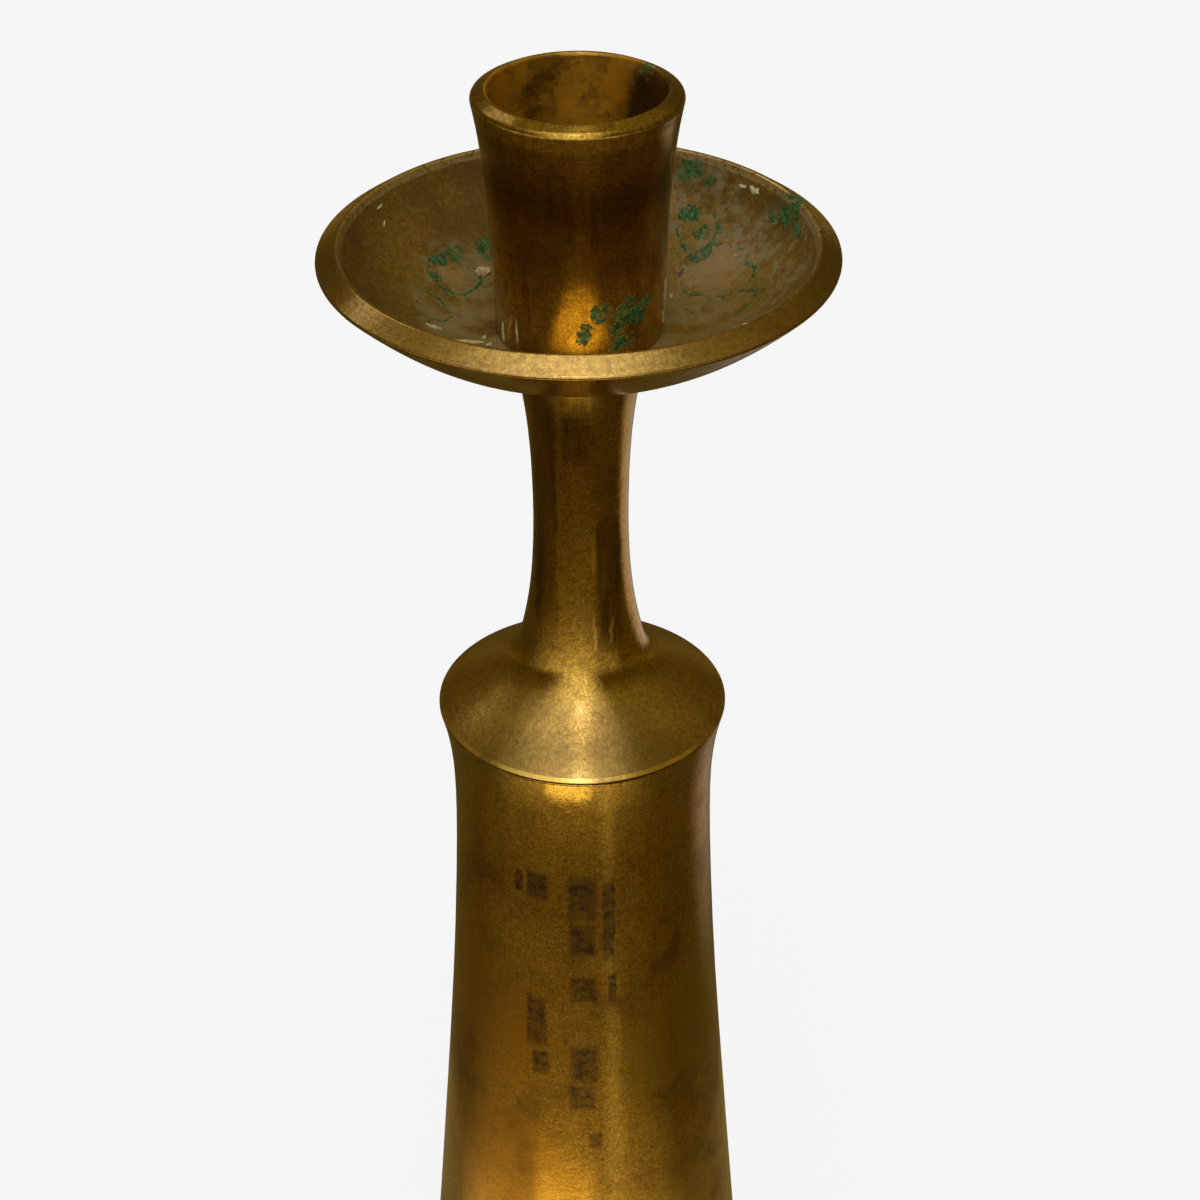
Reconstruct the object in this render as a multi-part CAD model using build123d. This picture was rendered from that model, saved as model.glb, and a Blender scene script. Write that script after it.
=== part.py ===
from build123d import *
from math import atan, cos, tan
import os

# A turned brass candlestick: cup, drip pan, neck and hollow body on one axis, +Z up, in millimetres.
# The origin is on the axis, in the plane of the table. Outlines are (radius, height) pairs.

# Driving dimensions of the whole
HEIGHT = 240.0  # table to the crest of the cup's rim
BORE_R = 11.5  # candle socket's mouth, for a 22 mm candle
PAN_R = 34.7  # outer edge of the drip pan, before it is rounded
SHOULDER_R = 21.1  # edge of the neck's shoulder, on the body's top
FOOT_R = 28.4  # body at its foot
FELT_STANDS_PROUD = 0.8  # the brass foot hangs this far off the table

# Joint planes, as heights
PAN_FLOOR = HEIGHT - 33.8  # the cup's foot sits here
NECK_TOP = HEIGHT - 35.4  # the pan's underside sits here
BODY_TOP = HEIGHT - 95.5  # the shoulder sits here

# Cup
BORE_DEPTH = 6.5  # straight part of the socket
SOCKET_DEPTH = 24.0
SOCKET_FLOOR_R = 9.6
CUP_RIM_R = 13.8
CUP_RIM_DROP = 1.15  # the rim's land falls this far from its inner to its outer edge
CUP_RIM_ROUNDING = 0.45
CUP_RIM_OUTER_ROUNDING = 0.85
SOCKET_FLOOR_ROUNDING = 1.5
CUP_FOOT_R = 11.25
CUP_FOOT_ROUNDING = 0.25

# Screw between cup and neck, 8 mm across its thread, 1.25 mm pitch
CUP_SCREW_R = 4.0
CUP_SCREW_ENGAGED = 10.0
CUP_SCREW_IN_CUP = 7.5
CUP_SCREW_BEVEL = 0.6
SCREW_HOLE_SPARE = 3.0  # depth of the neck's hole past the screw's end
THREAD_CLEARANCE = 0.05
PAN_HOLE_CLEARANCE = 0.3

# Pan
PAN_CREST_R = 31.6
PAN_CREST = HEIGHT - 20.7
PAN_CREST_ROUNDING = 0.5
PAN_EDGE = HEIGHT - 22.8
PAN_EDGE_ROUNDING = 0.35
PAN_FLAT_R = 14.5
PAN_UNDERSIDE_FLAT_R = 12.0

# Neck and body
NECK_TOP_R = 10.6
SHOULDER_LIP = 0.4  # height of the shoulder's edge
SHOULDER_BREAK = 0.15  # rounding above and bevel below that edge
SPIGOT_R = 12.0
SPIGOT_LENGTH = 4.0
SPIGOT_BEVEL = 0.5
BODY_TOP_R = SHOULDER_R - 0.05
BODY_TOP_ROUNDING = 0.2
BODY_WEB = 6.0  # thickness of the body's closed top
BODY_FOOT_WALL = 2.1
BODY_FOOT_ROUNDING = 0.6

# Tie rod, 6 mm across its thread, with its nuts and washers
ROD_R = 3.0
ROD_IN_NECK = 12.0
NUT_ACROSS_FLATS = 10.0
NUT_HEIGHT = 5.0
NUT_BEVEL = 0.6
WASHER_R = 9.0
WASHER_BORE_R = ROD_R + 0.2
WASHER_THICK = 1.6
LOCK_WASHER_R = 5.6
LOCK_WASHER_BORE_R = ROD_R + 0.1
LOCK_WASHER_THICK = 1.6
LOCK_WASHER_GAP = 1.0
LOCK_WASHER_SLANT = 30  # degrees
ROD_TAIL = 1.5  # thread left below the nut
ROD_BEVEL = 0.5

# Foot: felt, disc and ballast, from the table up
FELT_R = 25.8
FELT_THICK = 2.0
DISC_R = 26.0
DISC_THICK = 1.0
BALLAST_HEIGHT = 30.0
BALLAST_BORE_R = 3.4
POCKET_R = 10.0  # pocket in the ballast for the nut and washers
POCKET_DEPTH = 11.0

DISC_TOP = FELT_THICK + DISC_THICK
POCKET_TOP = DISC_TOP + POCKET_DEPTH
BALLAST_TOP = DISC_TOP + BALLAST_HEIGHT
NUT_TOP = POCKET_TOP - WASHER_THICK - LOCK_WASHER_THICK
SPIGOT_END = BODY_TOP - SPIGOT_LENGTH

# The body's inner taper, which the ballast is pulled up into
INNER_FOOT_R = FOOT_R - BODY_FOOT_WALL
INNER_TAPER = 0.086  # radius lost per millimetre of height


def inner_taper_r(height):
    return INNER_FOOT_R - INNER_TAPER * (height - FELT_STANDS_PROUD)


def below_rim(*points):
    """(radius, depth below the rim) pairs as (radius, height) pairs."""
    return [(radius, HEIGHT - depth) for radius, depth in points]


def outline(*curves):
    """A face from curves that meet end to end, with the radius along X and the height along Y."""
    return make_face([edge for curve in curves for edge in curve.edges()])


def corner(face, radius, height):
    """The vertex of an outline nearest to a place on it."""
    place = Vector(radius, height)
    return min(face.vertices(), key=lambda vertex: (Vector(vertex) - place).length)


def turned(face):
    """The outline stood up in the XZ plane and turned about Z."""
    return revolve(Plane.XZ * face, axis=Axis.Z)


def hexagon_nut(bottom):
    """A hexagon nut with chamfered corners, round the tie rod."""
    half_flats = NUT_ACROSS_FLATS / 2
    blank = extrude(RegularPolygon(half_flats, 6, major_radius=False), NUT_HEIGHT)
    reach = half_flats + 2 * NUT_BEVEL
    turned_blank = turned(
        outline(
            Polyline(
                (ROD_R, 0),
                (half_flats, 0),
                (reach, NUT_BEVEL),
                (reach, NUT_HEIGHT - NUT_BEVEL),
                (half_flats, NUT_HEIGHT),
                (ROD_R, NUT_HEIGHT),
                close=True,
            )
        )
    )
    return Pos(0, 0, bottom) * (blank & turned_blank)


def ring(inner_r, outer_r, bottom, thickness):
    blank = extrude(Circle(outer_r) - Circle(inner_r), thickness)
    return Pos(0, 0, bottom) * blank


def candle_cup():
    land_slope = atan(CUP_RIM_DROP / (CUP_RIM_R - BORE_R))
    lost_to_rounding = CUP_RIM_ROUNDING * (tan(land_slope) + 1 / cos(land_slope) - 1)
    rim_inner = (BORE_R, HEIGHT + lost_to_rounding)
    rim_outer = (CUP_RIM_R, rim_inner[1] - CUP_RIM_DROP)
    foot = (CUP_FOOT_R, PAN_FLOOR)
    socket_floor = HEIGHT - SOCKET_DEPTH
    screw_hole_top = PAN_FLOOR + CUP_SCREW_IN_CUP
    wall = Spline(
        rim_outer,
        *below_rim((13.1, 4.5), (12.4, 9.8), (11.9, 16.0), (11.5, 25.0)),
        foot,
    )
    inside = Polyline(
        foot,
        (CUP_SCREW_R, PAN_FLOOR),
        (CUP_SCREW_R, screw_hole_top),
        (0, screw_hole_top),
        (0, socket_floor),
        (SOCKET_FLOOR_R, socket_floor),
        (BORE_R, HEIGHT - BORE_DEPTH),
        rim_inner,
        rim_outer,
    )
    face = outline(wall, inside)
    face = fillet(corner(face, *rim_inner), CUP_RIM_ROUNDING)
    face = fillet(corner(face, *rim_outer), CUP_RIM_OUTER_ROUNDING)
    face = fillet(corner(face, SOCKET_FLOOR_R, socket_floor), SOCKET_FLOOR_ROUNDING)
    face = fillet(corner(face, *foot), CUP_FOOT_ROUNDING)
    return turned(face)


def cup_screw():
    bottom = NECK_TOP - CUP_SCREW_ENGAGED
    length = PAN_FLOOR + CUP_SCREW_IN_CUP - bottom
    rod = Pos(0, 0, bottom) * extrude(Circle(CUP_SCREW_R), length)
    return chamfer(rod.edges().group_by(Axis.Z)[0], CUP_SCREW_BEVEL)


def drip_pan():
    hole_r = CUP_SCREW_R + PAN_HOLE_CLEARANCE
    crest = (PAN_CREST_R, PAN_CREST)
    edge = (PAN_R, PAN_EDGE)
    bowl = Spline(
        (PAN_FLAT_R, PAN_FLOOR),
        *below_rim((20.0, 32.0), (25.0, 29.2), (29.0, 25.7)),
        crest,
        tangents=[(1, 0), (1, 2.4)],
    )
    underside = Spline(
        edge,
        *below_rim((32.0, 25.35), (29.0, 27.9), (25.0, 30.7), (20.0, 33.3)),
        (PAN_UNDERSIDE_FLAT_R, NECK_TOP),
        tangents=[(-1, -1), (-1, -0.1)],
    )
    floor = Polyline(
        (PAN_UNDERSIDE_FLAT_R, NECK_TOP),
        (hole_r, NECK_TOP),
        (hole_r, PAN_FLOOR),
        (PAN_FLAT_R, PAN_FLOOR),
    )
    face = outline(bowl, Line(crest, edge), underside, floor)
    face = fillet(corner(face, *crest), PAN_CREST_ROUNDING)
    face = fillet(corner(face, *edge), PAN_EDGE_ROUNDING)
    return turned(face)


def neck():
    screw_hole_r = CUP_SCREW_R + THREAD_CLEARANCE
    screw_hole_end = NECK_TOP - CUP_SCREW_ENGAGED - SCREW_HOLE_SPARE
    rod_hole_end = SPIGOT_END + ROD_IN_NECK
    lip_top = (SHOULDER_R, BODY_TOP + SHOULDER_LIP)
    waist = Spline(
        (NECK_TOP_R, NECK_TOP),
        *below_rim(
            (8.65, 40.3),
            (7.5, 46.5),
            (6.75, 58.0),
            (6.85, 69.0),
            (7.6, 77.0),
            (8.9, 83.5),
            (9.35, 85.0),
            (10.1, 86.5),
            (11.3, 87.9),
            (13.0, 89.3),
            (16.0, 91.45),
        ),
        lip_top,
    )
    rest = Polyline(
        lip_top,
        (SHOULDER_R, BODY_TOP),
        (SPIGOT_R, BODY_TOP),
        (SPIGOT_R, SPIGOT_END),
        (ROD_R, SPIGOT_END),
        (ROD_R, rod_hole_end),
        (0, rod_hole_end),
        (0, screw_hole_end),
        (screw_hole_r, screw_hole_end),
        (screw_hole_r, NECK_TOP),
        (NECK_TOP_R, NECK_TOP),
    )
    face = outline(waist, rest)
    face = fillet(corner(face, *lip_top), SHOULDER_BREAK)
    face = chamfer(corner(face, SHOULDER_R, BODY_TOP), SHOULDER_BREAK)
    face = chamfer(corner(face, SPIGOT_R, SPIGOT_END), SPIGOT_BEVEL)
    return turned(face)


def body():
    top_outer = (BODY_TOP_R, BODY_TOP)
    foot_outer = (FOOT_R, FELT_STANDS_PROUD)
    web_bottom = BODY_TOP - BODY_WEB
    wall = Spline(
        top_outer,
        *below_rim(
            (20.2, 99.3),
            (19.4, 106.5),
            (19.3, 115.0),
            (19.7, 127.0),
            (20.7, 145.5),
            (22.4, 168.5),
            (25.2, 203.0),
        ),
        foot_outer,
    )
    inside = Polyline(
        foot_outer,
        (INNER_FOOT_R, FELT_STANDS_PROUD),
        (inner_taper_r(BALLAST_TOP), BALLAST_TOP),
        (20.3, HEIGHT - 168.5),
        (17.5, HEIGHT - 121.0),
        (17.2, web_bottom),
        (SPIGOT_R, web_bottom),
        (SPIGOT_R, BODY_TOP),
        top_outer,
    )
    face = outline(wall, inside)
    face = fillet(corner(face, *top_outer), BODY_TOP_ROUNDING)
    face = fillet(corner(face, *foot_outer), BODY_FOOT_ROUNDING)
    return turned(face)


def tie_rod():
    bottom = NUT_TOP - NUT_HEIGHT - ROD_TAIL
    rod = Pos(0, 0, bottom) * extrude(Circle(ROD_R), SPIGOT_END + ROD_IN_NECK - bottom)
    return chamfer(rod.edges().group_by(Axis.Z)[0], ROD_BEVEL)


def rod_locknut():
    return hexagon_nut(SPIGOT_END - NUT_HEIGHT)


def rod_nut():
    return hexagon_nut(NUT_TOP - NUT_HEIGHT)


def rod_washer():
    return ring(WASHER_BORE_R, WASHER_R, POCKET_TOP - WASHER_THICK, WASHER_THICK)


def lock_washer():
    """A split spring washer, flat because the nut is tight."""
    washer = ring(LOCK_WASHER_BORE_R, LOCK_WASHER_R, NUT_TOP, LOCK_WASHER_THICK)
    slit = Box(2 * LOCK_WASHER_R, LOCK_WASHER_GAP, 4 * LOCK_WASHER_THICK)
    slanted = Rot(LOCK_WASHER_SLANT, 0, 0) * slit
    return washer - Pos(LOCK_WASHER_R + ROD_R / 2, 0, NUT_TOP + LOCK_WASHER_THICK / 2) * slanted


def ballast():
    face = outline(
        Polyline(
            (BALLAST_BORE_R, BALLAST_TOP),
            (inner_taper_r(BALLAST_TOP), BALLAST_TOP),
            (inner_taper_r(DISC_TOP), DISC_TOP),
            (POCKET_R, DISC_TOP),
            (POCKET_R, POCKET_TOP),
            (BALLAST_BORE_R, POCKET_TOP),
            close=True,
        )
    )
    return turned(face)


def base_disc():
    return Pos(0, 0, FELT_THICK) * extrude(Circle(DISC_R), DISC_THICK)


def felt_pad():
    return extrude(Circle(FELT_R), FELT_THICK)


NODES = [
    candle_cup,
    cup_screw,
    drip_pan,
    neck,
    body,
    tie_rod,
    rod_locknut,
    rod_washer,
    lock_washer,
    rod_nut,
    ballast,
    base_disc,
    felt_pad,
]

os.makedirs("parts", exist_ok=True)
for make in NODES:
    export_step(make(), f"parts/{make.__name__}.step")
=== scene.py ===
"""The looks of a turned brass candlestick: old brass, verdigris, wax, a cut thread and a felt pad.

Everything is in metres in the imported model's frame: +Z up the turning axis, the table at z = 0.
"""

import math

import bmesh
import bpy
from mathutils import Matrix, Vector, noise
from mathutils.bvhtree import BVHTree


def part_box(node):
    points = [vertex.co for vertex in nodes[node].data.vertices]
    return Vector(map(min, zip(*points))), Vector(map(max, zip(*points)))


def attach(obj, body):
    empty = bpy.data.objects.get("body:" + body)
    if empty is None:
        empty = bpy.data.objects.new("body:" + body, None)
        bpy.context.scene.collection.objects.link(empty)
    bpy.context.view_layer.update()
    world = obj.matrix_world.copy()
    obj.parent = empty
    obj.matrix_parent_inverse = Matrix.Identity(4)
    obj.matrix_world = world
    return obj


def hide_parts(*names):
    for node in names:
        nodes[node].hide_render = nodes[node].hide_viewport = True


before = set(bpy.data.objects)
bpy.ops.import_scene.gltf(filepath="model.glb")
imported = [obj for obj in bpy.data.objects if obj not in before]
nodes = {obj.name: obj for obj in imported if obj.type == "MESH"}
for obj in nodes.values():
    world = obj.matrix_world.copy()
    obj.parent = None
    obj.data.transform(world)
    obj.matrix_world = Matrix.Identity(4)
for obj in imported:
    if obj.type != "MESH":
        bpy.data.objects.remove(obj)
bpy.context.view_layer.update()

MM = 0.001
BACKGROUND = 0.922  # the pale studio, as the camera sees it
FLOOR_GLOW = 0.868  # the part of it that no shadow takes away
FLOOR_HALF = 6.0  # from the middle of the floor to its edge


# ---------------------------------------------------------------- camera


def make_camera():
    """A long lens in front of the stick. It looks down on the candle cup and cuts off the foot."""
    pitch_down = math.radians(34.195)
    yaw_right = math.radians(0.522)
    roll = math.radians(-0.171)
    data = bpy.data.cameras.new("camera")
    data.lens = 73.4
    data.sensor_width = 36.0
    camera = bpy.data.objects.new("camera", data)
    camera.matrix_world = (
        Matrix.Translation((0.0, -0.29131, 0.35971))
        @ Matrix.Rotation(-yaw_right, 4, "Z")
        @ Matrix.Rotation(math.pi / 2 - pitch_down, 4, "X")
        @ Matrix.Rotation(roll, 4, "Z")
    )
    bpy.context.scene.collection.objects.link(camera)
    bpy.context.scene.camera = camera


# ---------------------------------------------------------------- shader graphs


class Graph:
    """Fills one node tree. Each method adds a node and returns the socket that it makes."""

    def __init__(self, owner):
        owner.use_nodes = True
        self.tree = owner.node_tree
        self.tree.nodes.clear()

    def add(self, kind, inputs, out=0, **settings):
        node = self.tree.nodes.new(kind)
        for name, value in settings.items():
            setattr(node, name, value)
        for key, value in inputs.items():
            if isinstance(value, bpy.types.NodeSocket):
                self.tree.links.new(value, node.inputs[key])
            else:
                node.inputs[key].default_value = value
        return node.outputs[out] if node.outputs else node

    def math(self, operation, a, b=0.0):
        return self.add("ShaderNodeMath", {0: a, 1: b}, operation=operation)

    def highest(self, values):
        top = values[0]
        for value in values[1:]:
            top = self.math("MAXIMUM", top, value)
        return top

    def product(self, *values):
        result = values[0]
        for value in values[1:]:
            result = self.math("MULTIPLY", result, value)
        return result

    def vector(self, x, y, z):
        return self.add("ShaderNodeCombineXYZ", {0: x, 1: y, 2: z})

    def split(self, vector):
        node = self.add("ShaderNodeSeparateXYZ", {0: vector}).node
        return node.outputs[0], node.outputs[1], node.outputs[2]

    def length(self, vector):
        return self.add("ShaderNodeVectorMath", {0: vector}, out="Value", operation="LENGTH")

    def scaled(self, vector, x, y, z):
        return self.add("ShaderNodeVectorMath", {0: vector, 1: (x, y, z)}, operation="MULTIPLY")

    def ramp(self, value, start, end, low=0.0, high=1.0):
        """value's way from start to end, as a smooth step from low to high."""
        inputs = {"Value": value, "From Min": start, "From Max": end, "To Min": low, "To Max": high}
        return self.add("ShaderNodeMapRange", inputs, interpolation_type="SMOOTHSTEP")

    def noise(self, where, scale, detail=3.0, roughness=0.55, out=0):
        inputs = {"Vector": where, "Scale": scale, "Detail": detail, "Roughness": roughness}
        return self.add("ShaderNodeTexNoise", inputs, out=out)

    def mix(self, factor, a, b, blend="MIX"):
        inputs = {0: factor, 6: a, 7: b}
        return self.add("ShaderNodeMix", inputs, out=2, data_type="RGBA", blend_type=blend)

    def mix_value(self, factor, a, b):
        return self.add("ShaderNodeMix", {0: factor, 2: a, 3: b}, data_type="FLOAT")

    def shaded(self, shade, value):
        """A colour times a number."""
        return self.add("ShaderNodeVectorMath", {0: shade, "Scale": value}, operation="SCALE")

    def wobbled(self, where, scale, amount):
        """where, pushed about by noise by up to amount."""
        push = self.noise(where, scale, detail=4.0, roughness=0.65, out="Color")
        middle = (0.5, 0.5, 0.5)
        centred = self.add("ShaderNodeVectorMath", {0: push, 1: middle}, operation="SUBTRACT")
        scaled = self.scaled(centred, 2 * amount, 2 * amount, 2 * amount)
        return self.add("ShaderNodeVectorMath", {0: where, 1: scaled}, operation="ADD")

    def layered(self, value, stops):
        """A colour that changes with value: the first, then each (start, end, colour) in order."""
        shade = stops[0]
        for start, end, after in stops[1:]:
            shade = self.mix(self.ramp(value, start, end), shade, after)
        return shade

    def patch(self, where, patches, front=-0.014):
        """One inside upright patches, where y is less than front. A patch is (x, z, width, height),
        in millimetres."""
        x, y, z = self.split(where)
        masks = []
        for centre_x, centre_z, width, height in patches:
            masks.append(
                self.product(
                    self.band(x, centre_x, width),
                    self.band(z, centre_z, height),
                )
            )
        return self.product(self.highest(masks), self.ramp(y, front + 0.002, front - 0.002))

    def band(self, value, centre, width):
        """One where value is within half of width of centre, with a soft edge; in millimetres."""
        away = self.math("ABSOLUTE", self.math("SUBTRACT", value, centre * MM))
        half = width * MM / 2
        return self.ramp(away, half * 1.2, half * 0.75)

    def spots(self, where, spots):
        """One inside the spots and fading to 0 at their edges. A spot is (x, y, z, radius) in
        millimetres."""
        masks = []
        for x, y, z, radius in spots:
            centre = (x * MM, y * MM, z * MM)
            away = self.add(
                "ShaderNodeVectorMath", {0: where, 1: centre}, out="Value", operation="DISTANCE"
            )
            masks.append(self.ramp(away, radius * MM * 1.15, radius * MM * 0.7))
        return self.highest(masks)

    def bump(self, height, distance, normal=None):
        inputs = {"Height": height, "Strength": 1.0, "Distance": distance}
        if normal is not None:
            inputs["Normal"] = normal
        return self.add("ShaderNodeBump", inputs)

    def surface(self, **inputs):
        inputs = {name.replace("_", " "): value for name, value in inputs.items()}
        shader = self.add("ShaderNodeBsdfPrincipled", inputs)
        self.add("ShaderNodeOutputMaterial", {"Surface": shader})
        return shader.node


def colour(red, green, blue):
    return (red, green, blue, 1.0)


# ---------------------------------------------------------------- materials

BRASS_BRIGHT = colour(0.78, 0.54, 0.13)
BRASS_PLAIN = colour(0.62, 0.385, 0.065)
BRASS_BROWN = colour(0.45, 0.245, 0.034)
BRASS_ORANGE = colour(0.64, 0.32, 0.030)
OLIVE = colour(0.44, 0.32, 0.040)
# A dark film colour; it is also used as painted shade on the cup's upper outside, the top of the
# neck and the pan's land beside the front.
TARNISH_AND_SHADE = colour(0.12, 0.062, 0.008)
SOOT = colour(0.022, 0.011, 0.003)
STAIN = colour(0.075, 0.045, 0.022)
# A dull dirt colour for the pan; on the neck it is also used as painted shade over the front of the
# brim.
GRIME_AND_SHADE = colour(0.165, 0.108, 0.030)
DUST = colour(0.31, 0.245, 0.125)
SOCKET_FILM = colour(0.56, 0.27, 0.010)
# The rim's dull film colour, also used as painted shade on the rim's sides and back.
RIM_FILM_AND_SHADE = colour(0.25, 0.140, 0.015)
SHOULDER_FILM = colour(0.56, 0.38, 0.150)
LAND_FILM = colour(0.54, 0.37, 0.145)
VERDIGRIS_DARK = colour(0.003, 0.085, 0.026)
VERDIGRIS_PALE = colour(0.09, 0.30, 0.125)
HAZE = colour(0.28, 0.27, 0.15)
WORN_EDGE = colour(0.75, 0.60, 0.32)
BARE_TAN = colour(0.36, 0.23, 0.09)
WAX = colour(0.80, 0.72, 0.50)


class Brass:
    """Old turned brass, built up in layers: each call adds one kind of wear, dirt or painted shade
    to the last.
    """

    def __init__(self, name):
        self.material = bpy.data.materials.new(name)
        g = self.g = Graph(self.material)
        texture = g.add("ShaderNodeTexCoord", {}).node
        self.place = texture.outputs["Object"]
        self.normal = texture.outputs["Normal"]
        self.x, self.y, self.z = g.split(self.place)
        self.radius = g.length(g.vector(self.x, self.y, 0.0))
        self.marks = g.wobbled(self.place, 330.0, 0.0016)
        self.crust = 0.0
        self.metal = 1.0

        # turning lines: quick across the cut, slow along it
        line_place = g.vector(
            g.math("MULTIPLY", self.radius, 3600.0),
            g.math("MULTIPLY", self.z, 3600.0),
            g.math("MULTIPLY", g.math("ADD", self.x, self.y), 60.0),
        )
        self.lines = g.noise(line_place, 1.0, detail=3.0, roughness=0.7)
        loose = g.wobbled(self.place, 90.0, 0.004)
        self.blotches = g.noise(loose, 60.0, detail=6.0, roughness=0.65)
        self.grain = g.noise(self.place, 1300.0, detail=5.0, roughness=0.75)
        upright = g.scaled(self.place, 520.0, 520.0, 28.0)
        self.wiped = g.noise(upright, 1.0, detail=4.0, roughness=0.6)
        warmth = g.noise(self.place, 24.0, detail=3.0)
        speckle = g.noise(self.place, 2800.0, detail=3.0, roughness=0.8)

        base = g.mix(g.ramp(self.blotches, 0.33, 0.60), BRASS_BROWN, BRASS_PLAIN)
        base = g.mix(g.ramp(warmth, 0.42, 0.68, 0.0, 0.5), base, OLIVE)
        base = g.mix(g.ramp(self.wiped, 0.48, 0.70, 0.0, 0.55), base, BRASS_BROWN)
        base = g.mix(g.ramp(self.grain, 0.50, 0.74, 0.0, 0.7), base, BRASS_BRIGHT)
        base = g.mix(g.ramp(self.grain, 0.48, 0.26, 0.0, 0.7), base, TARNISH_AND_SHADE)
        self.base = g.shaded(base, g.ramp(speckle, 0.30, 0.70, 0.62, 1.32))
        self.rough = g.ramp(self.blotches, 0.30, 0.65, 0.22, 0.14)

    def layer(self, mask, shade, rough=None, metal=None):
        """Puts shade over what is there, as far as mask says."""
        g = self.g
        self.base = g.mix(mask, self.base, shade)
        if rough is not None:
            self.rough = g.mix_value(mask, self.rough, rough)
        if metal is not None:
            self.metal = g.mix_value(mask, self.metal, metal)

    def tarnish(self, amount, stains=()):
        """A dark film in blotches, over darker rectangular stains on the front."""
        g = self.g
        dark = g.ramp(self.blotches, 0.50, 0.34)
        uneven = g.ramp(self.grain, 0.30, 0.60, 0.4, 1.0)
        film = g.product(dark, uneven, amount)
        if stains:
            mottled = g.ramp(g.noise(self.place, 700.0, detail=4.0), 0.30, 0.62, 1.0, 0.60)
            stained = g.product(g.patch(g.wobbled(self.place, 500.0, 0.0006), stains), mottled)
            self.layer(stained, STAIN, rough=0.28)
        self.layer(film, TARNISH_AND_SHADE, rough=0.30)

    def tint(self, spots, shade, amount):
        """A broad change of colour within spots."""
        g = self.g
        where = g.wobbled(self.place, 120.0, 0.005)
        self.layer(g.product(g.spots(where, spots), amount), shade)

    def film(self, mask, shade, rough, metal):
        """A dull coat over part of the piece, thinner in its scratches."""
        g = self.g
        thin = g.ramp(self.blotches, 0.30, 0.62, 1.0, 0.80)
        worn = g.ramp(self.grain, 0.62, 0.40, 0.70, 1.0)
        mottled = g.shaded(shade[:3], g.ramp(self.grain, 0.36, 0.64, 0.72, 1.30))
        self.layer(g.product(mask, thin, worn), mottled, rough, metal)

    def rub(self, mask):
        """Bright metal where hands and cloths have rubbed."""
        self.layer(mask, BRASS_BRIGHT, rough=0.17)

    def dirt(self, spots, shade, thin, thick, most, rough):
        """Dry residue within spots, in flecks: none where the fleck noise is at thin, and most where
        it is at thick."""
        g = self.g
        flecks = g.noise(self.place, 520.0, detail=6.0, roughness=0.7)
        mask = g.product(g.spots(self.marks, spots), g.ramp(flecks, thin, thick), most)
        self.layer(mask, shade, rough, 0.0)

    def verdigris(self, spots, rings=()):
        """Green crust: a wash inside each spot with thicker curling ridges where it dried, and
        broken rings round the edges of old drops."""
        g = self.g
        near = g.spots(self.marks, spots)
        curls = g.noise(g.wobbled(self.place, 260.0, 0.004), 300.0, detail=2.0)
        ridge = g.ramp(g.math("ABSOLUTE", g.math("SUBTRACT", curls, 0.5)), 0.075, 0.035)
        flecks = g.noise(self.place, 900.0, detail=4.0, roughness=0.7)
        thick = g.product(g.ramp(near, 0.15, 0.40), ridge, g.ramp(flecks, 0.32, 0.44))
        wash = g.product(g.ramp(near, 0.10, 0.45), g.ramp(flecks, 0.34, 0.54), 0.50)
        if rings:
            from_edge = g.math("ABSOLUTE", g.math("SUBTRACT", g.spots(self.marks, rings), 0.42))
            broken = g.noise(self.place, 230.0, detail=3.0)
            edge = g.product(g.ramp(from_edge, 0.24, 0.10), g.ramp(broken, 0.44, 0.54))
            thick = g.math("MAXIMUM", thick, edge)
        wash_shade = g.mix(0.35, VERDIGRIS_DARK, VERDIGRIS_PALE)
        self.layer(wash, wash_shade, 0.5, 0.0)
        shade = g.mix(g.ramp(self.grain, 0.42, 0.68), VERDIGRIS_DARK, VERDIGRIS_PALE)
        self.layer(thick, shade, 0.5, 0.0)
        self.crust = thick

    def done(self):
        """Adds the relief and the shader, and returns the material."""
        g = self.g
        cut = g.bump(self.lines, 0.000006)
        handled = g.bump(self.wiped, 0.000030, cut)
        skin = g.bump(self.blotches, 0.00010, handled)
        fine = g.math("ADD", g.math("MULTIPLY", self.grain, 0.10), self.crust)
        tangent = g.add("ShaderNodeTangent", {}, direction_type="RADIAL", axis="Z")
        g.surface(
            Base_Color=self.base,
            Metallic=self.metal,
            Roughness=self.rough,
            Anisotropic=0.55,
            Anisotropic_Rotation=0.25,
            Coat_Weight=0.25,
            Coat_Roughness=0.12,
            Tangent=tangent,
            Normal=g.bump(fine, 0.00010, skin),
        )
        return self.material


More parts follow.
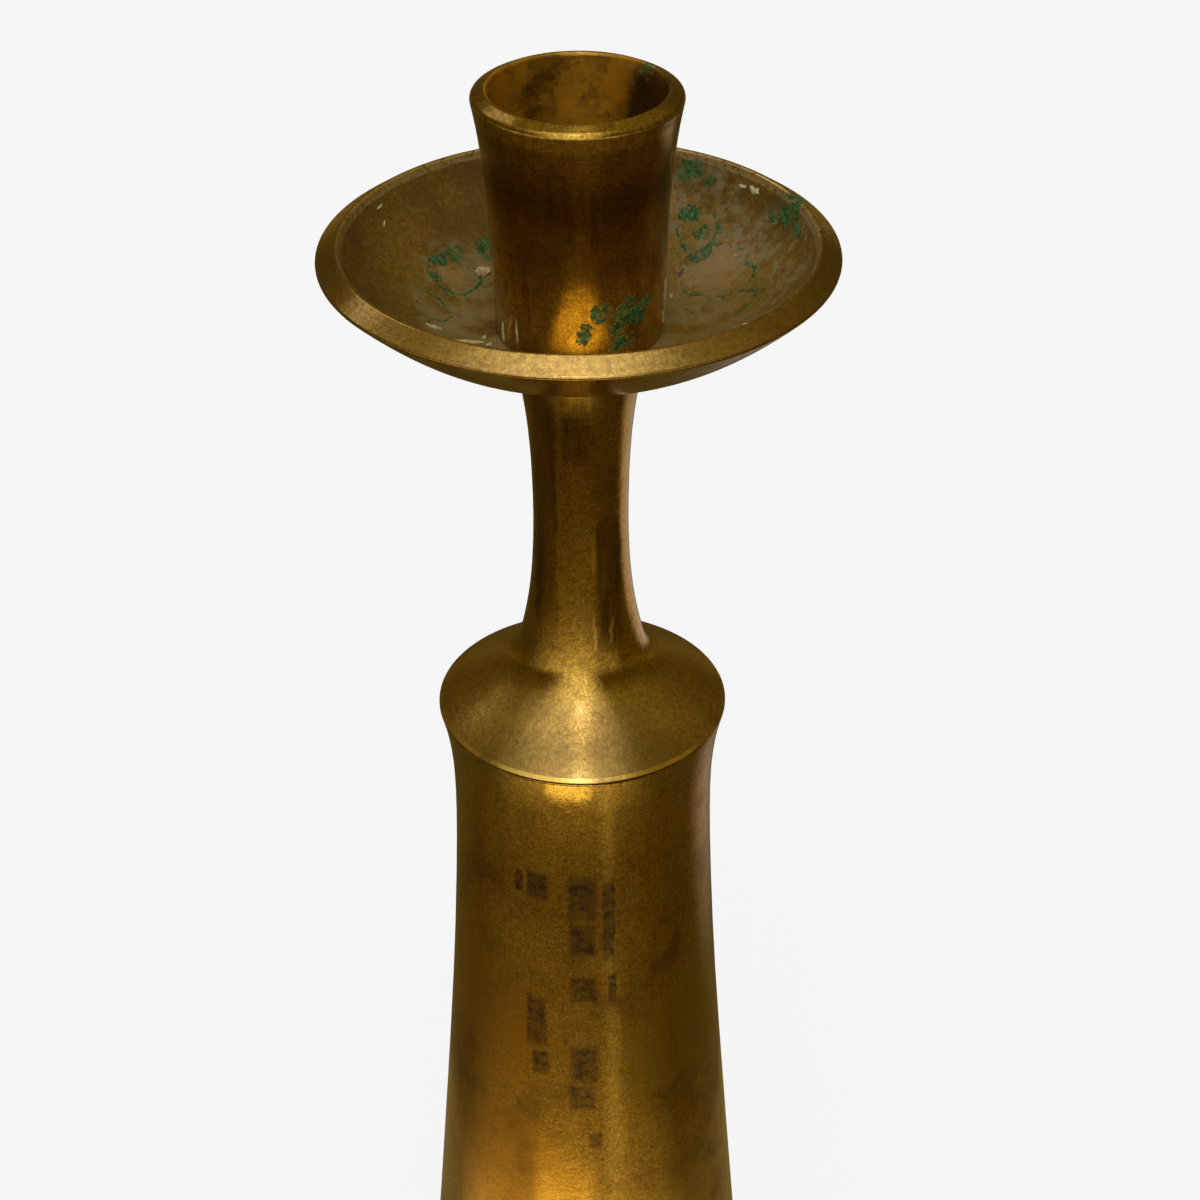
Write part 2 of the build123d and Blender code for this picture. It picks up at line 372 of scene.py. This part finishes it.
def cup_brass():
    brass = Brass("brass_cup")
    g = brass.g
    brass.tarnish(0.55)
    normal_x, normal_y, _ = g.split(brass.normal)
    faces_out = g.math(
        "ADD", g.math("MULTIPLY", normal_x, brass.x), g.math("MULTIPLY", normal_y, brass.y)
    )
    inside = g.ramp(faces_out, 0.0, -0.002)
    outside = g.math("SUBTRACT", 1.0, inside)

    uneven = g.ramp(brass.blotches, 0.36, 0.56, 0.35, 0.95)
    brass.layer(g.product(inside, uneven), SOCKET_FILM, 0.36, 0.30)
    burnt = g.noise(g.wobbled(brass.place, 200.0, 0.003), 260.0, detail=6.0, roughness=0.65)
    brass.layer(g.product(inside, g.ramp(burnt, 0.50, 0.64), 0.70), TARNISH_AND_SHADE, rough=0.34)
    smoked = g.spots(g.wobbled(brass.place, 160.0, 0.004), [(10.8, 3.4, 232.0, 9.5)])
    brass.layer(g.product(inside, smoked, 0.92), SOOT, rough=0.35)

    # painted shade: the upper part of the cup's outside is darkened
    painted_shade_upper_cup = g.product(g.ramp(brass.z, 0.2190, 0.2300), g.ramp(brass.z, 0.2375, 0.2360))
    brass.layer(g.product(outside, painted_shade_upper_cup, 0.60), TARNISH_AND_SHADE)
    brass.layer(g.product(outside, g.ramp(brass.wiped, 0.50, 0.70, 0.0, 0.45)), TARNISH_AND_SHADE)
    # a dull film on the rim, laid on thicker away from the front as painted shade so that only the
    # front stays bright
    on_rim = g.product(g.ramp(brass.z, 0.2368, 0.2376), outside)
    film_and_painted_shade_off_front = g.ramp(brass.y, -0.0125, -0.0080, 0.40, 0.90)
    brass.film(g.product(on_rim, film_and_painted_shade_off_front), RIM_FILM_AND_SHADE, 0.26, 0.9)
    brass.dirt(
        [(6.0, 9.8, 238.0, 2.2), (8.9, 7.3, 239.3, 1.6)],
        HAZE,
        thin=0.50,
        thick=0.62,
        most=0.8,
        rough=0.6,
    )
    brass.verdigris(
        [
            (5.4, -10.0, 212.9, 1.6),
            (3.0, -11.1, 213.6, 1.4),
            (4.6, -10.4, 211.6, 1.3),
            (7.6, -8.5, 212.3, 1.5),
            (8.6, -7.4, 213.2, 1.0),
            (6.6, -9.2, 214.6, 0.9),
            (5.2, -10.0, 208.7, 1.4),
            (6.6, -9.2, 208.9, 1.1),
            (0.2, -11.4, 210.4, 1.2),
            (1.0, -11.4, 212.0, 0.8),
            (8.9, 7.2, 239.4, 0.8),
        ]
    )
    return brass.done()


def pan_brass():
    brass = Brass("brass_pan")
    g = brass.g
    brass.tarnish(0.7)
    _, _, normal_up = g.split(brass.normal)
    faces_up = g.ramp(normal_up, 0.05, 0.2)
    inside = g.product(faces_up, g.ramp(brass.radius, 0.0318, 0.0310))
    land = g.product(faces_up, g.ramp(brass.radius, 0.0312, 0.0318))

    polished = g.spots(brass.place, [(0.0, -17.0, 207.5, 8.0)])
    brass.film(g.product(inside, g.math("SUBTRACT", 0.92, polished)), GRIME_AND_SHADE, 0.46, 0.25)
    cloud = g.noise(brass.place, 240.0, detail=5.0, roughness=0.65)
    low = g.ramp(brass.z, 0.2110, 0.2072)
    cloudy = g.ramp(cloud, 0.38, 0.60)
    not_polished = g.math("SUBTRACT", 0.7, polished)
    brass.layer(g.product(inside, low, cloudy, not_polished), DUST, 0.6, 0.0)
    brass.layer(g.product(polished, inside, 0.9), BRASS_BRIGHT, rough=0.12)

    brass.film(g.product(land, 0.75), LAND_FILM, 0.26, 0.92)
    # painted shade: the land is darkened at its sides so that only the very front stays bright
    painted_shade_beside_front = g.product(
        g.ramp(brass.y, -0.0290, -0.0220, 0.0, 0.45),
        g.ramp(brass.y, 0.010, -0.004),
    )
    brass.layer(g.product(land, painted_shade_beside_front), TARNISH_AND_SHADE)
    crest = g.product(g.band(brass.radius, 31.4, 0.7), g.ramp(normal_up, 0.2, 0.5))
    brass.layer(g.product(crest, g.ramp(brass.grain, 0.36, 0.52, 0.0, 0.8)), WORN_EDGE, rough=0.3)

    brass.dirt(
        [
            (29.0, 3.0, 214.5, 6.5),
            (-18.6, 1.2, 207.3, 5.0),
            (24.0, 12.0, 211.5, 6.0),
            (17.0, 22.0, 212.0, 8.0),
            (14.0, 4.0, 207.0, 4.0),
            (24.5, -7.0, 209.0, 6.0),
            (-17.0, 12.0, 208.0, 6.0),
        ],
        HAZE,
        thin=0.44,
        thick=0.62,
        most=0.75,
        rough=0.6,
    )
    brass.dirt(
        [(18.6, 11.0, 208.9, 3.1), (20.0, 8.6, 208.9, 2.3), (-17.4, 11.3, 208.3, 2.2)],
        BARE_TAN,
        thin=0.34,
        thick=0.50,
        most=0.95,
        rough=0.55,
    )
    brass.verdigris(
        [
            (-19.6, 13.0, 208.8, 1.4),
            (-17.2, 15.2, 208.9, 1.5),
            (-12.6, 17.4, 208.8, 1.8),
            (-19.6, 9.6, 208.4, 1.1),
            (15.6, 21.6, 212.0, 1.6),
            (17.0, 18.6, 211.0, 1.4),
            (15.7, 26.1, 216.8, 1.9),
            (18.5, 24.6, 215.6, 1.3),
            (15.6, 14.4, 208.8, 1.4),
            (17.6, 14.8, 209.4, 1.1),
            (28.8, 11.6, 217.6, 2.7),
            (27.2, 14.0, 215.2, 1.4),
            (29.5, 7.5, 216.0, 1.3),
        ],
        rings=[
            (18.6, 10.8, 208.9, 5.2),
            (20.4, 7.8, 208.9, 3.9),
            (-17.4, 11.2, 208.3, 4.0),
            (21.2, 1.6, 208.6, 2.9),
            (-20.0, 2.0, 207.6, 3.2),
            (16.6, 18.6, 210.8, 3.2),
        ],
    )
    return brass.done()


def neck_brass():
    brass = Brass("brass_neck")
    g = brass.g
    brass.tarnish(0.5)
    _, _, normal_up = g.split(brass.normal)
    # painted shade: the neck is darkened towards its top, under the drip pan
    painted_shade_neck_top = g.ramp(brass.z, 0.1920, 0.2030)
    brass.layer(g.product(painted_shade_neck_top, 0.6), TARNISH_AND_SHADE)
    loose = g.wobbled(brass.place, 300.0, 0.0009)
    dark = g.patch(
        loose,
        [
            (-5.0, 180.0, 3.2, 38.0),
            (-0.5, 192.8, 4.0, 8.4),
            (3.8, 169.0, 3.6, 21.0),
        ],
        front=0.0,
    )
    brass.layer(g.product(dark, g.ramp(brass.wiped, 0.35, 0.60, 0.85, 0.40)), TARNISH_AND_SHADE)
    wiped = g.patch(
        loose,
        [
            (1.6, 173.8, 0.5, 6.0),
            (1.7, 161.5, 0.5, 5.5),
            (4.2, 161.0, 0.5, 3.5),
        ],
        front=0.0,
    )
    brass.layer(g.product(wiped, 0.8), BRASS_BRIGHT, rough=0.12)
    brim = g.product(g.ramp(brass.radius, 0.0090, 0.0135), g.ramp(normal_up, 0.3, 0.6))
    brass.film(g.product(brim, 0.6), SHOULDER_FILM, 0.30, 0.95)
    # painted shade: the front of the shoulder's brim is darkened
    painted_shade_brim_front = g.product(g.ramp(brass.radius, 0.0140, 0.0180), g.ramp(brass.y, -0.010, -0.016))
    brass.layer(g.product(painted_shade_brim_front, 0.45), GRIME_AND_SHADE)
    lip = g.product(g.band(brass.radius, 20.9, 0.7), g.ramp(normal_up, 0.3, 0.7))
    brass.rub(g.product(lip, g.ramp(brass.blotches, 0.38, 0.55)))
    return brass.done()


def body_brass():
    brass = Brass("brass_body")
    g = brass.g
    brass.tint([(-17.9, -10.5, 92.0, 16.0), (-12.0, -17.0, 66.0, 14.0)], BRASS_ORANGE, 0.55)
    brass.tint([(14.0, -16.0, 88.0, 11.0), (17.0, -16.0, 60.0, 9.0)], OLIVE, 0.50)
    brass.tarnish(
        0.55,
        stains=[
            (-6.9, 123.5, 3.2, 4.8),
            (-9.6, 123.5, 1.1, 4.0),
            (-0.2, 122.0, 4.4, 8.6),
            (-0.3, 114.0, 4.0, 6.2),
            (3.6, 117.5, 1.8, 15.0),
            (-0.2, 104.6, 4.2, 5.0),
            (4.2, 104.6, 1.3, 5.4),
            (-7.3, 97.5, 3.0, 9.5),
            (-6.8, 89.5, 2.6, 4.6),
            (-0.1, 89.8, 4.2, 7.4),
            (-0.5, 83.2, 4.0, 5.0),
            (1.5, 74.6, 2.2, 3.0),
        ],
    )
    polished = g.ramp(brass.z, 0.1355, 0.1400)
    brass.rough = g.mix_value(polished, brass.rough, 0.07)
    return brass.done()


def zinc_plate(name):
    """Zinc-plated steel, dull and faintly yellow, with darker oil in its low places."""
    material = bpy.data.materials.new(name)
    g = Graph(material)
    place = g.add("ShaderNodeTexCoord", {}, out="Object")
    cloud = g.noise(place, 260.0, detail=5.0, roughness=0.65)
    fine = g.noise(place, 2600.0, detail=3.0)
    base = g.mix(g.ramp(cloud, 0.35, 0.68), colour(0.30, 0.29, 0.26), colour(0.56, 0.55, 0.50))
    base = g.mix(g.ramp(fine, 0.55, 0.75, 0.0, 0.4), base, colour(0.20, 0.15, 0.08))
    g.surface(
        Base_Color=base,
        Metallic=0.95,
        Roughness=g.mix_value(cloud, 0.45, 0.28),
        Normal=g.bump(fine, 0.00003),
    )
    return material


def cast_iron(name):
    """Rough grey iron as it comes from the sand, with a bloom of rust."""
    material = bpy.data.materials.new(name)
    g = Graph(material)
    place = g.add("ShaderNodeTexCoord", {}, out="Object")
    sand = g.noise(place, 1100.0, detail=5.0, roughness=0.7)
    patches = g.noise(place, 120.0, detail=5.0, roughness=0.6)
    base = g.mix(sand, colour(0.035, 0.034, 0.033), colour(0.10, 0.095, 0.09))
    rust = g.product(g.ramp(patches, 0.52, 0.68), g.ramp(sand, 0.4, 0.6))
    base = g.mix(rust, base, colour(0.16, 0.055, 0.018))
    g.surface(
        Base_Color=base,
        Metallic=g.math("SUBTRACT", 0.75, g.math("MULTIPLY", rust, 0.7)),
        Roughness=g.mix_value(rust, 0.55, 0.9),
        Normal=g.bump(sand, 0.00025),
    )
    return material


def candle_wax(name):
    """Old candle wax: soft, cream, dulled by dust."""
    material = bpy.data.materials.new(name)
    g = Graph(material)
    place = g.add("ShaderNodeTexCoord", {}, out="Object")
    cloud = g.noise(place, 900.0, detail=4.0)
    base = g.mix(g.ramp(cloud, 0.4, 0.7), WAX, colour(0.52, 0.40, 0.20))
    node = g.surface(
        Base_Color=base,
        Roughness=g.mix_value(cloud, 0.35, 0.6),
        Normal=g.bump(cloud, 0.00006),
    )
    node.inputs["Subsurface Weight"].default_value = 0.35
    node.inputs["Subsurface Scale"].default_value = 0.0015
    return material


def wool_felt(name):
    """Pressed green wool: tangled fibres, pale nap and lint."""
    material = bpy.data.materials.new(name)
    g = Graph(material)
    place = g.add("ShaderNodeTexCoord", {}, out="Object")
    tangle = g.noise(g.wobbled(place, 700.0, 0.0009), 1800.0, detail=5.0, roughness=0.75)
    clumps = g.noise(place, 220.0, detail=4.0)
    base = g.mix(g.ramp(tangle, 0.3, 0.7), colour(0.012, 0.040, 0.020), colour(0.05, 0.13, 0.07))
    base = g.mix(g.ramp(clumps, 0.45, 0.75, 0.0, 0.4), base, colour(0.09, 0.15, 0.09))
    node = g.surface(
        Base_Color=base,
        Roughness=g.mix_value(tangle, 0.85, 1.0),
        Normal=g.bump(tangle, 0.0003),
    )
    node.inputs["Sheen Weight"].default_value = 0.5
    node.inputs["Sheen Roughness"].default_value = 0.5
    return material


def paint(node, material):
    nodes[node].data.materials.clear()
    nodes[node].data.materials.append(material)


# ---------------------------------------------------------------- pieces


def new_object(name, mesh_data, material):
    piece = bpy.data.objects.new(name, mesh_data)
    bpy.context.scene.collection.objects.link(piece)
    mesh_data.materials.append(material)
    for polygon in mesh_data.polygons:
        polygon.use_smooth = True
    return piece


def lathe(name, rows, steps, material):
    """A closed skin round the axis. rows is one list of (radius, height) for each step round it."""
    mesh = bmesh.new()
    rings = []
    for step in range(steps):
        turn = 2 * math.pi * step / steps
        out_x = math.cos(turn)
        out_y = math.sin(turn)
        rings.append([mesh.verts.new((r * out_x, r * out_y, height)) for r, height in rows(turn)])
    count = len(rings[0])
    for step, ring in enumerate(rings):
        after = rings[(step + 1) % steps]
        for low in range(count - 1):
            mesh.faces.new((ring[low], after[low], after[low + 1], ring[low + 1]))
    mesh.faces.new([ring[0] for ring in reversed(rings)])
    mesh.faces.new([ring[-1] for ring in rings])
    data = bpy.data.meshes.new(name)
    mesh.to_mesh(data)
    mesh.free()
    return new_object(name, data, material)


THREAD_DEPTH = 0.61  # pitches
THREAD_CREST = 0.12  # the share of half a pitch that keeps its full height
THREAD_FLANK = 0.72  # the share of half a pitch that slopes down to the root
THREAD_RUNOUT = 0.8  # pitches over which the thread dies away at its ends


def cut_thread(name, node, pitch, material):
    """A right-handed screw thread as long and as thick as a CAD cylinder, run out at both ends."""
    low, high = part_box(node)
    crest_r = high.x
    depth = THREAD_DEPTH * pitch
    rows_per_pitch = 12
    rows = int((high.z - low.z) / pitch * rows_per_pitch)

    def outline(turn):
        points = []
        for row in range(rows + 1):
            along = row / rows
            height = low.z + along * (high.z - low.z)
            wave = abs(((height / pitch - turn / (2 * math.pi)) % 1.0) * 2 - 1)
            cut = min(1.0, max(0.0, (wave - THREAD_CREST) / THREAD_FLANK))
            runout = min(along, 1 - along) * (high.z - low.z) / (THREAD_RUNOUT * pitch)
            end_bevel = max(0.0, 1 - runout)
            points.append((crest_r - depth * max(cut, end_bevel), height))
        return points

    return lathe(name, outline, 72, material)


def felt_disc(name, node, material):
    """The pressed felt pad: soft rounded edge, uneven thickness and a lightly furred rim."""
    low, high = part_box(node)
    outer = high.x
    thick = high.z - low.z
    edge = 0.4 * thick

    def outline(turn):
        points = []
        rim = outer - 0.00035 * (1 + noise.noise((math.cos(turn) * 9, math.sin(turn) * 9, 2.0)))
        flat_r = rim - edge
        for share in (0.04, 0.2, 0.4, 0.6, 0.8, 0.95):
            radius = flat_r * share
            spot = Vector((radius * math.cos(turn), radius * math.sin(turn), 0.0)) * 300
            points.append((radius, low.z + 0.00012 * (1 + noise.noise(spot))))
        for step in range(9):
            angle = -math.pi / 2 + math.pi * step / 8
            bulge = flat_r + edge * math.cos(angle)
            middle = low.z + thick / 2
            points.append((bulge, middle + 0.46 * thick * math.sin(angle)))
        for share in (0.9, 0.6, 0.3, 0.04):
            points.append((flat_r * share, high.z - 0.00008))
        return points

    return lathe(name, outline, 144, material)


# wax on the pan: x, y, length, width in millimetres, and its way in degrees
PAN_WAX = (
    (-13.3, 13.4, 2.1, 1.5, 20),
    (-14.9, -4.7, 4.6, 0.95, 6),
    (-19.3, -3.2, 2.4, 0.8, 12),
    (-11.9, -5.3, 1.0, 0.7, 60),
    (-12.6, -3.2, 0.8, 0.5, 100),
    (-27.0, 14.4, 1.5, 0.35, 75),
    (-26.4, 13.2, 1.1, 0.3, 110),
    (24.3, 18.6, 1.8, 0.9, 120),
    (22.7, 20.4, 1.2, 0.5, 150),
    (12.6, 8.3, 1.2, 0.6, 90),
    (20.4, -24.0, 0.8, 0.35, 40),
    (27.4, -15.0, 1.1, 0.3, 130),
)

# wax on the cup's outside: angle in degrees, height, length and width in millimetres
CUP_WAX = (
    (-8, 211.5, 5.2, 0.5),
    (-12, 208.6, 1.6, 0.6),
    (-136, 209.4, 3.4, 0.35),
    (-152, 208.0, 3.0, 0.5),
)


class Surface:
    """Finds places on a CAD node's skin."""

    def __init__(self, node):
        self.tree = BVHTree.FromObject(nodes[node], bpy.context.evaluated_depsgraph_get())

    def below(self, x, y, start):
        """The first place under (x, y, start) and its normal, all in metres."""
        place, normal, _, _ = self.tree.ray_cast(Vector((x, y, start)), Vector((0, 0, -1)))
        return place, normal

    def inward(self, angle, height, start):
        """The first place met going in towards the axis at an angle and a height."""
        out = Vector((math.cos(angle), math.sin(angle), 0.0))
        place, normal, _, _ = self.tree.ray_cast(out * start + Vector((0, 0, height)), -out)
        return place, normal


def wax_lump(name, spot, along, length, width, seed, material):
    """A lump or run of set wax, sunk a little into what it lies on. spot is a place on a skin and
    its normal, along is the way that the run goes; length and width are in millimetres."""
    place, normal = spot
    along = (along - normal * along.dot(normal)).normalized()
    across = normal.cross(along)
    mesh = bmesh.new()
    bmesh.ops.create_icosphere(mesh, subdivisions=4, radius=1.0)
    for vertex in mesh.verts:
        direction = vertex.co.copy()
        lump = 1 + 0.40 * noise.noise(direction * 1.3 + Vector((seed, seed * 0.7, 0)))
        lump += 0.14 * noise.noise(direction * 4.1 + Vector((0, seed, seed)))
        wander = 0.25 * width * MM * noise.noise(Vector((direction.x * 2.5, seed, 0.5)))
        vertex.co = (
            place
            + along * direction.x * lump * length * MM / 2
            + across * (direction.y * lump * width * MM / 2 + wander)
            + normal * (direction.z * lump * 0.42 + 0.20) * width * MM / 2
        )
    data = bpy.data.meshes.new(name)
    mesh.to_mesh(data)
    mesh.free()
    return new_object(name, data, material)


# ---------------------------------------------------------------- studio


def make_floor():
    """A pale table. What the brass mirrors of it glows: a warm pool of painted light that fades
    outwards.
    """
    mesh = bmesh.new()
    bmesh.ops.create_grid(mesh, x_segments=12, y_segments=12, size=FLOOR_HALF)
    data = bpy.data.meshes.new("floor")
    mesh.to_mesh(data)
    mesh.free()
    floor = bpy.data.objects.new("floor", data)
    bpy.context.scene.collection.objects.link(floor)
    material = bpy.data.materials.new("pale_table")
    g = Graph(material)
    x, y, _ = g.split(g.add("ShaderNodeTexCoord", {}, out="Object"))
    away = g.length(g.vector(x, y, 0.0))
    # the cosine of the way round from straight behind the stick, a little to its right
    forward = g.math("ADD", g.math("MULTIPLY", y, 0.966), g.math("MULTIPLY", x, 0.26))
    forward = g.math("DIVIDE", forward, away)
    front = g.ramp(forward, 0.05, -0.95)
    pool = g.layered(
        away,
        [
            colour(1.20, 0.90, 0.38),
            (0.084, 0.092, colour(0.42, 0.31, 0.13)),
            (0.095, 0.140, colour(0.21, 0.145, 0.045)),
            (0.155, 0.205, colour(0.04, 0.025, 0.004)),
        ],
    )
    sides = g.product(g.math("SUBTRACT", 1.0, front), 0.90)
    pool = g.mix(sides, pool, colour(0.085, 0.055, 0.009))

    # a paler streak of painted light that leads off to the front right
    streak_width = g.ramp(away, 0.19, 0.09, 0.06, 0.24)
    off_streak = g.math("ABSOLUTE", g.math("SUBTRACT", g.math("DIVIDE", x, away), 0.36))
    streak = g.product(
        g.ramp(g.math("DIVIDE", off_streak, streak_width), 1.0, 0.1),
        g.ramp(y, 0.0, -0.02),
        g.ramp(away, 0.22, 0.12),
    )
    pool = g.mix(g.math("MULTIPLY", streak, 0.30), pool, colour(0.95, 0.80, 0.45))

    # a bright arc near the foot, which shows just under the shoulder
    from_arc = g.math("ABSOLUTE", g.math("SUBTRACT", away, 0.089))
    arc = g.product(g.ramp(from_arc, 0.013, 0.008), g.ramp(forward, -0.90, -0.97))
    pool = g.mix(arc, pool, colour(2.1, 1.65, 0.75))

    # what lies further off: bright in front, dim elsewhere, and a glint behind to the right
    far = g.layered(
        away,
        [
            colour(0.0, 0.0, 0.0),
            (0.22, 0.36, colour(0.16, 0.11, 0.03)),
            (0.40, 1.30, colour(0.95, 0.82, 0.58)),
        ],
    )
    dim_far = g.mix(g.ramp(away, 0.3, 1.2), colour(0.0, 0.0, 0.0), colour(0.10, 0.066, 0.011))
    shade = g.mix(1.0, pool, g.mix(front, dim_far, far), blend="ADD")
    aside = g.vector(g.math("SUBTRACT", x, 0.20), g.math("SUBTRACT", y, 0.20), 0.0)
    glint = g.ramp(g.length(aside), 0.17, 0.08)
    shade = g.mix(glint, shade, colour(0.52, 0.41, 0.32))

    mirrored = g.add("ShaderNodeEmission", {"Color": shade, "Strength": 1.0})
    lit = g.add("ShaderNodeBsdfDiffuse", {"Color": colour(0.10, 0.118, 0.175)})
    glow = g.add("ShaderNodeEmission", {"Color": colour(1, 1, 1), "Strength": FLOOR_GLOW})
    seen = g.add("ShaderNodeAddShader", {0: lit, 1: glow})
    to_camera = g.add("ShaderNodeLightPath", {}, out="Is Camera Ray")
    both = g.add("ShaderNodeMixShader", {0: to_camera, 1: mirrored, 2: seen})
    g.add("ShaderNodeOutputMaterial", {"Surface": both})
    data.materials.append(material)


def make_world():
    """An even pale backdrop. The brass mirrors a dim warm room with a great soft light in front."""
    world = bpy.data.worlds.new("studio")
    bpy.context.scene.world = world
    g = Graph(world)
    x, y, up = g.split(g.add("ShaderNodeTexCoord", {}, out="Generated"))
    front = g.product(g.ramp(y, 0.15, -0.10), g.ramp(x, -0.80, -0.16), g.ramp(x, 0.52, 0.08))
    room = g.mix(g.ramp(up, 0.2, 0.9), colour(0.105, 0.070, 0.011), colour(0.27, 0.20, 0.05))
    room = g.mix(g.ramp(up, 0.980, 0.996), room, colour(1.9, 1.8, 1.2))
    shade = g.mix(front, room, colour(1.32, 1.22, 1.05))
    mirrored = g.add("ShaderNodeBackground", {"Color": shade, "Strength": 1.0})
    pale = g.add("ShaderNodeBackground", {"Color": colour(1, 1, 1), "Strength": BACKGROUND})
    to_camera = g.add("ShaderNodeLightPath", {}, out="Is Camera Ray")
    both = g.add("ShaderNodeMixShader", {0: to_camera, 1: mirrored, 2: pale})
    g.add("ShaderNodeOutputWorld", {"Surface": both})


def softbox(name, place, aim, width, height, radiance, tint=(1.0, 0.95, 0.86)):
    """A rectangular soft light, with its brightness given as what a mirror would show."""
    data = bpy.data.lights.new(name, "AREA")
    data.shape = "RECTANGLE"
    data.size = width
    data.size_y = height
    data.energy = radiance * math.pi * width * height
    data.color = tint
    light = bpy.data.objects.new(name, data)
    light.location = place
    light.rotation_mode = "QUATERNION"
    light.rotation_quaternion = (Vector(aim) - Vector(place)).to_track_quat("-Z", "Y")
    light.visible_camera = False
    bpy.context.scene.collection.objects.link(light)


def make_lights():
    middle = (0, 0, 0.15)
    softbox("key_core", (-0.02, -0.385, 1.02), middle, 0.05, 0.05, 10.0)
    softbox("key_glow", (-0.02, -0.430, 1.02), middle, 0.22, 0.16, 1.5)
    softbox("back_left", (-0.8, 0.75, 1.2), middle, 0.5, 0.5, 1.0)


# ---------------------------------------------------------------- the whole


def finish_materials():
    for node, material in (
        ("candle_cup", cup_brass()),
        ("drip_pan", pan_brass()),
        ("neck", neck_brass()),
        ("body", body_brass()),
        ("ballast", cast_iron("cast_iron")),
    ):
        paint(node, material)
    steel = zinc_plate("zinc_plate")
    for node in ("rod_locknut", "rod_washer", "lock_washer", "rod_nut", "base_disc"):
        paint(node, steel)
    return steel


def make_pieces(steel):
    for name, node, body, pitch in (
        ("cup_screw_thread", "cup_screw", "cup", 1.25 * MM),
        ("tie_rod_thread", "tie_rod", "stand", 1.0 * MM),
    ):
        screw = cut_thread(name, node, pitch, steel)
        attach(screw, body)
        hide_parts(node)

    pad = felt_disc("felt_pad_soft", "felt_pad", wool_felt("wool_felt"))
    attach(pad, "stand")
    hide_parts("felt_pad")
    width = 2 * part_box("felt_pad")[1].x

    wax = candle_wax("candle_wax")
    pan = Surface("drip_pan")
    above_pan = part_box("drip_pan")[1].z + 0.01
    for number, (x, y, length, width, turn) in enumerate(PAN_WAX):
        way = Vector((math.cos(math.radians(turn)), math.sin(math.radians(turn)), 0.0))
        spot = pan.below(x * MM, y * MM, above_pan)
        lump = wax_lump(f"pan_wax_{number + 1}", spot, way, length, width, 3.7 * number + 1, wax)
        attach(lump, "pan")
    cup = Surface("candle_cup")
    outside_cup = 2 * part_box("candle_cup")[1].x
    for number, (angle, height, length, width) in enumerate(CUP_WAX):
        spot = cup.inward(math.radians(angle), height * MM, outside_cup)
        way = Vector((0.0, 0.0, 1.0))
        lump = wax_lump(f"cup_wax_{number + 1}", spot, way, length, width, 2.9 * number + 5, wax)
        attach(lump, "cup")


make_camera()
make_floor()
make_world()
make_lights()
make_pieces(finish_materials())

bpy.context.scene.view_settings.view_transform = "Standard"
